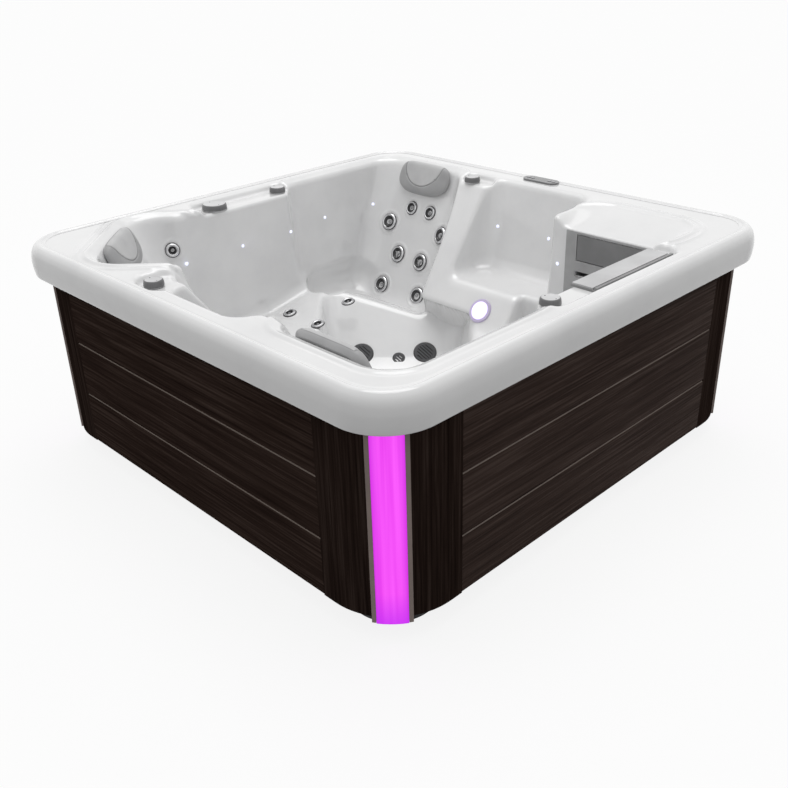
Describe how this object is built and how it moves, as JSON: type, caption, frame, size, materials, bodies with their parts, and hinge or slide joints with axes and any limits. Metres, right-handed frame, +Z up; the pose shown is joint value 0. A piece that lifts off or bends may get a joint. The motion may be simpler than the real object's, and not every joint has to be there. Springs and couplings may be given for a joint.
{
  "type": "hot tub",
  "caption": "Square hot tub: white moulded shell with loungers and seats, jets, head pads, skimmer and knobs, in a dark plank cabinet with lit corners.",
  "frame": {"origin": "on the floor under the middle of the tub", "axes": "+Z up; -Y is the left-hand visible side in the picture and +X the right-hand one; the lit corner nearest the viewer is at +X, -Y"},
  "size_m": [2, 2, 0.836],
  "materials": {
    "acrylic": "glossy white acrylic",
    "black_plastic": "matte black",
    "timber": "sawn softwood",
    "espresso_board": "dark espresso wood-grain board",
    "strip_lens": "diffusing lens, lit magenta",
    "trim": "satin warm grey",
    "jet_steel": "polished",
    "jet_plastic": "dark grey",
    "grille_grey": "dark grey",
    "clear_lens": "frosted clear",
    "acrylic_trim": "light grey",
    "knob_grey": "satin grey",
    "white_pipe": "white",
    "panel_grey": "grey",
    "display_glass": "dark window",
    "button_rubber": "soft grey",
    "skimmer_grey": "dark grey",
    "basket_white": "white",
    "filter_paper": "pleated",
    "pillow_grey": "satin soft foam",
    "motor_paint": "painted",
    "heater_steel": "satin"
  },
  "bodies": {
    "tub": {"acrylic_shell": "acrylic", "jet_fittings": "jet_steel", "suction_covers": "grille_grey", "floor_drain": "grille_grey", "light_bezel": "acrylic_trim", "light_lens": "clear_lens", "waterline_lights": "clear_lens", "valve_bodies": "white_pipe", "base_pan": "black_plastic", "frame_rails": "timber", "frame_studs": "timber", "right_skirt_boards": "espresso_board", "rear_skirt_boards": "espresso_board", "left_skirt_boards": "espresso_board", "front_skirt_boards": "espresso_board", "skirt_end_stiles": "espresso_board", "corner_posts": "espresso_board", "corner_light_strips": "strip_lens", "corner_light_trims": "trim", "control_panel_housing": "panel_grey", "panel_display": "display_glass", "skimmer_plate": "skimmer_grey", "skimmer_housing": "skimmer_grey", "waterfall_housing": "skimmer_grey", "waterfall_lens": "acrylic_trim", "pump_motor": "motor_paint", "pump_wet_end": "black_plastic", "heater_tube": "heater_steel", "control_box": "black_plastic", "air_blower": "black_plastic", "water_pipes": "white_pipe"},
    "jet_insert_upper_left": {"jet_insert_upper_left": "jet_plastic"},
    "jet_insert_neck_left": {"jet_insert_neck_left": "jet_plastic"},
    "jet_insert_neck_right": {"jet_insert_neck_right": "jet_plastic"},
    "jet_insert_upper_right": {"jet_insert_upper_right": "jet_plastic"},
    "jet_insert_middle_left": {"jet_insert_middle_left": "jet_plastic"},
    "jet_insert_middle_right": {"jet_insert_middle_right": "jet_plastic"},
    "jet_insert_lower_left": {"jet_insert_lower_left": "jet_plastic"},
    "jet_insert_lower_right": {"jet_insert_lower_right": "jet_plastic"},
    "jet_insert_calf_left": {"jet_insert_calf_left": "jet_plastic"},
    "jet_insert_calf_right": {"jet_insert_calf_right": "jet_plastic"},
    "jet_insert_knee": {"jet_insert_knee": "jet_plastic"},
    "diverter_knob": {"diverter_knob": "knob_grey"},
    "air_knob_left": {"air_knob_left": "knob_grey"},
    "air_knob_front": {"air_knob_front": "knob_grey"},
    "air_knob_rear": {"air_knob_rear": "knob_grey"},
    "air_knob_right": {"air_knob_right": "knob_grey"},
    "pillow_far": {"pillow_far": "pillow_grey"},
    "pillow_front": {"pillow_front": "pillow_grey"},
    "pillow_left": {"pillow_left": "pillow_grey"},
    "button_far_left": {"button_far_left": "button_rubber"},
    "button_left": {"button_left": "button_rubber"},
    "button_right": {"button_right": "button_rubber"},
    "button_far_right": {"button_far_right": "button_rubber"},
    "skimmer_weir": {"skimmer_weir": "skimmer_grey"},
    "filter_basket": {"filter_basket": "basket_white"},
    "filter_cartridge": {"filter_cartridge": "filter_paper"}
  },
  "joints": [
    {"name": "jet_insert_upper_left_turn", "type": "hinge", "parent": "tub", "child": "jet_insert_upper_left", "pos_m": [-0.73906, 0.71355, 0.55425], "axis": [0.1256, -0.8953, 0.4273], "range_deg": [-90, 90]},
    {"name": "jet_insert_neck_left_turn", "type": "hinge", "parent": "tub", "child": "jet_insert_neck_left", "pos_m": [-0.62815, 0.7515, 0.63437], "axis": [0, -0.9082, 0.4185], "range_deg": [-90, 90]},
    {"name": "jet_insert_neck_right_turn", "type": "hinge", "parent": "tub", "child": "jet_insert_neck_right", "pos_m": [-0.51, 0.75036, 0.63189], "axis": [0, -0.9082, 0.4185], "range_deg": [-90, 90]},
    {"name": "jet_insert_upper_right_turn", "type": "hinge", "parent": "tub", "child": "jet_insert_upper_right", "pos_m": [-0.40168, 0.71044, 0.55507], "axis": [-0.2653, -0.8819, 0.3898], "range_deg": [-90, 90]},
    {"name": "jet_insert_middle_left_turn", "type": "hinge", "parent": "tub", "child": "jet_insert_middle_left", "pos_m": [-0.6341, 0.65749, 0.43035], "axis": [0, -0.9082, 0.4185], "range_deg": [-90, 90]},
    {"name": "jet_insert_middle_right_turn", "type": "hinge", "parent": "tub", "child": "jet_insert_middle_right", "pos_m": [-0.4862, 0.65407, 0.42291], "axis": [0, -0.9082, 0.4185], "range_deg": [-90, 90]},
    {"name": "jet_insert_lower_left_turn", "type": "hinge", "parent": "tub", "child": "jet_insert_lower_left", "pos_m": [-0.68, 0.59013, 0.28414], "axis": [0, -0.9082, 0.4185], "range_deg": [-90, 90]},
    {"name": "jet_insert_lower_right_turn", "type": "hinge", "parent": "tub", "child": "jet_insert_lower_right", "pos_m": [-0.4471, 0.59051, 0.28497], "axis": [0, -0.9082, 0.4185], "range_deg": [-90, 90]},
    {"name": "jet_insert_calf_left_turn", "type": "hinge", "parent": "tub", "child": "jet_insert_calf_left", "pos_m": [-0.67405, 0.01785, 0.31012], "axis": [0, -0.2079, 0.9781], "range_deg": [-90, 90]},
    {"name": "jet_insert_calf_right_turn", "type": "hinge", "parent": "tub", "child": "jet_insert_calf_right", "pos_m": [-0.48365, 0.0187, 0.3103], "axis": [0, -0.2079, 0.9781], "range_deg": [-90, 90]},
    {"name": "jet_insert_knee_turn", "type": "hinge", "parent": "tub", "child": "jet_insert_knee", "pos_m": [-0.50065, 0.2125, 0.35149], "axis": [0, -0.2079, 0.9781], "range_deg": [-90, 90]},
    {"name": "diverter_turn", "type": "hinge", "parent": "tub", "child": "diverter_knob", "pos_m": [-0.8364, -0.2023, 0.8], "axis": [0, 0, 1], "range_deg": [-90, 90]},
    {"name": "air_knob_left_turn", "type": "hinge", "parent": "tub", "child": "air_knob_left", "pos_m": [-0.8449, 0.13515, 0.8], "axis": [0, 0, 1], "range_deg": [-45, 45]},
    {"name": "air_knob_front_turn", "type": "hinge", "parent": "tub", "child": "air_knob_front", "pos_m": [-0.2278, -0.86785, 0.8], "axis": [0, 0, 1], "range_deg": [-45, 45]},
    {"name": "air_knob_rear_turn", "type": "hinge", "parent": "tub", "child": "air_knob_rear", "pos_m": [-0.30175, 0.80665, 0.8], "axis": [0, 0, 1], "range_deg": [-45, 45]},
    {"name": "air_knob_right_turn", "type": "hinge", "parent": "tub", "child": "air_knob_right", "pos_m": [0.8398, -0.14025, 0.8], "axis": [0, 0, 1], "range_deg": [-45, 45]},
    {"name": "pillow_far_pull", "type": "slide", "parent": "tub", "child": "pillow_far", "axis": [0, -0.9082, 0.4185], "range_m": [0, 0.06]},
    {"name": "pillow_front_pull", "type": "slide", "parent": "tub", "child": "pillow_front", "axis": [0, 0.9082, 0.4185], "range_m": [0, 0.06]},
    {"name": "pillow_left_pull", "type": "slide", "parent": "tub", "child": "pillow_left", "axis": [0.638, 0.638, 0.4311], "range_m": [0, 0.06]},
    {"name": "button_far_left_press", "type": "slide", "parent": "tub", "child": "button_far_left", "axis": [0, 0, -1], "range_m": [0, 0.0012], "stiffness_N_per_m": 900},
    {"name": "button_left_press", "type": "slide", "parent": "tub", "child": "button_left", "axis": [0, 0, -1], "range_m": [0, 0.0012], "stiffness_N_per_m": 900},
    {"name": "button_right_press", "type": "slide", "parent": "tub", "child": "button_right", "axis": [0, 0, -1], "range_m": [0, 0.0012], "stiffness_N_per_m": 900},
    {"name": "button_far_right_press", "type": "slide", "parent": "tub", "child": "button_far_right", "axis": [0, 0, -1], "range_m": [0, 0.0012], "stiffness_N_per_m": 900},
    {"name": "weir_swing", "type": "hinge", "parent": "tub", "child": "skimmer_weir", "pos_m": [0.58, 0.56905, 0.671], "axis": [1, 0, 0], "range_deg": [-60, 0]},
    {"name": "basket_twist", "type": "hinge", "parent": "tub", "child": "filter_basket", "pos_m": [0.58, 0.69305, 0.56], "axis": [0, 0, 1], "range_deg": [-30, 0]},
    {"name": "cartridge_twist", "type": "hinge", "parent": "tub", "child": "filter_cartridge", "pos_m": [0.58, 0.69305, 0.42], "axis": [0, 0, 1], "range_deg": [-90, 0]}
  ]
}
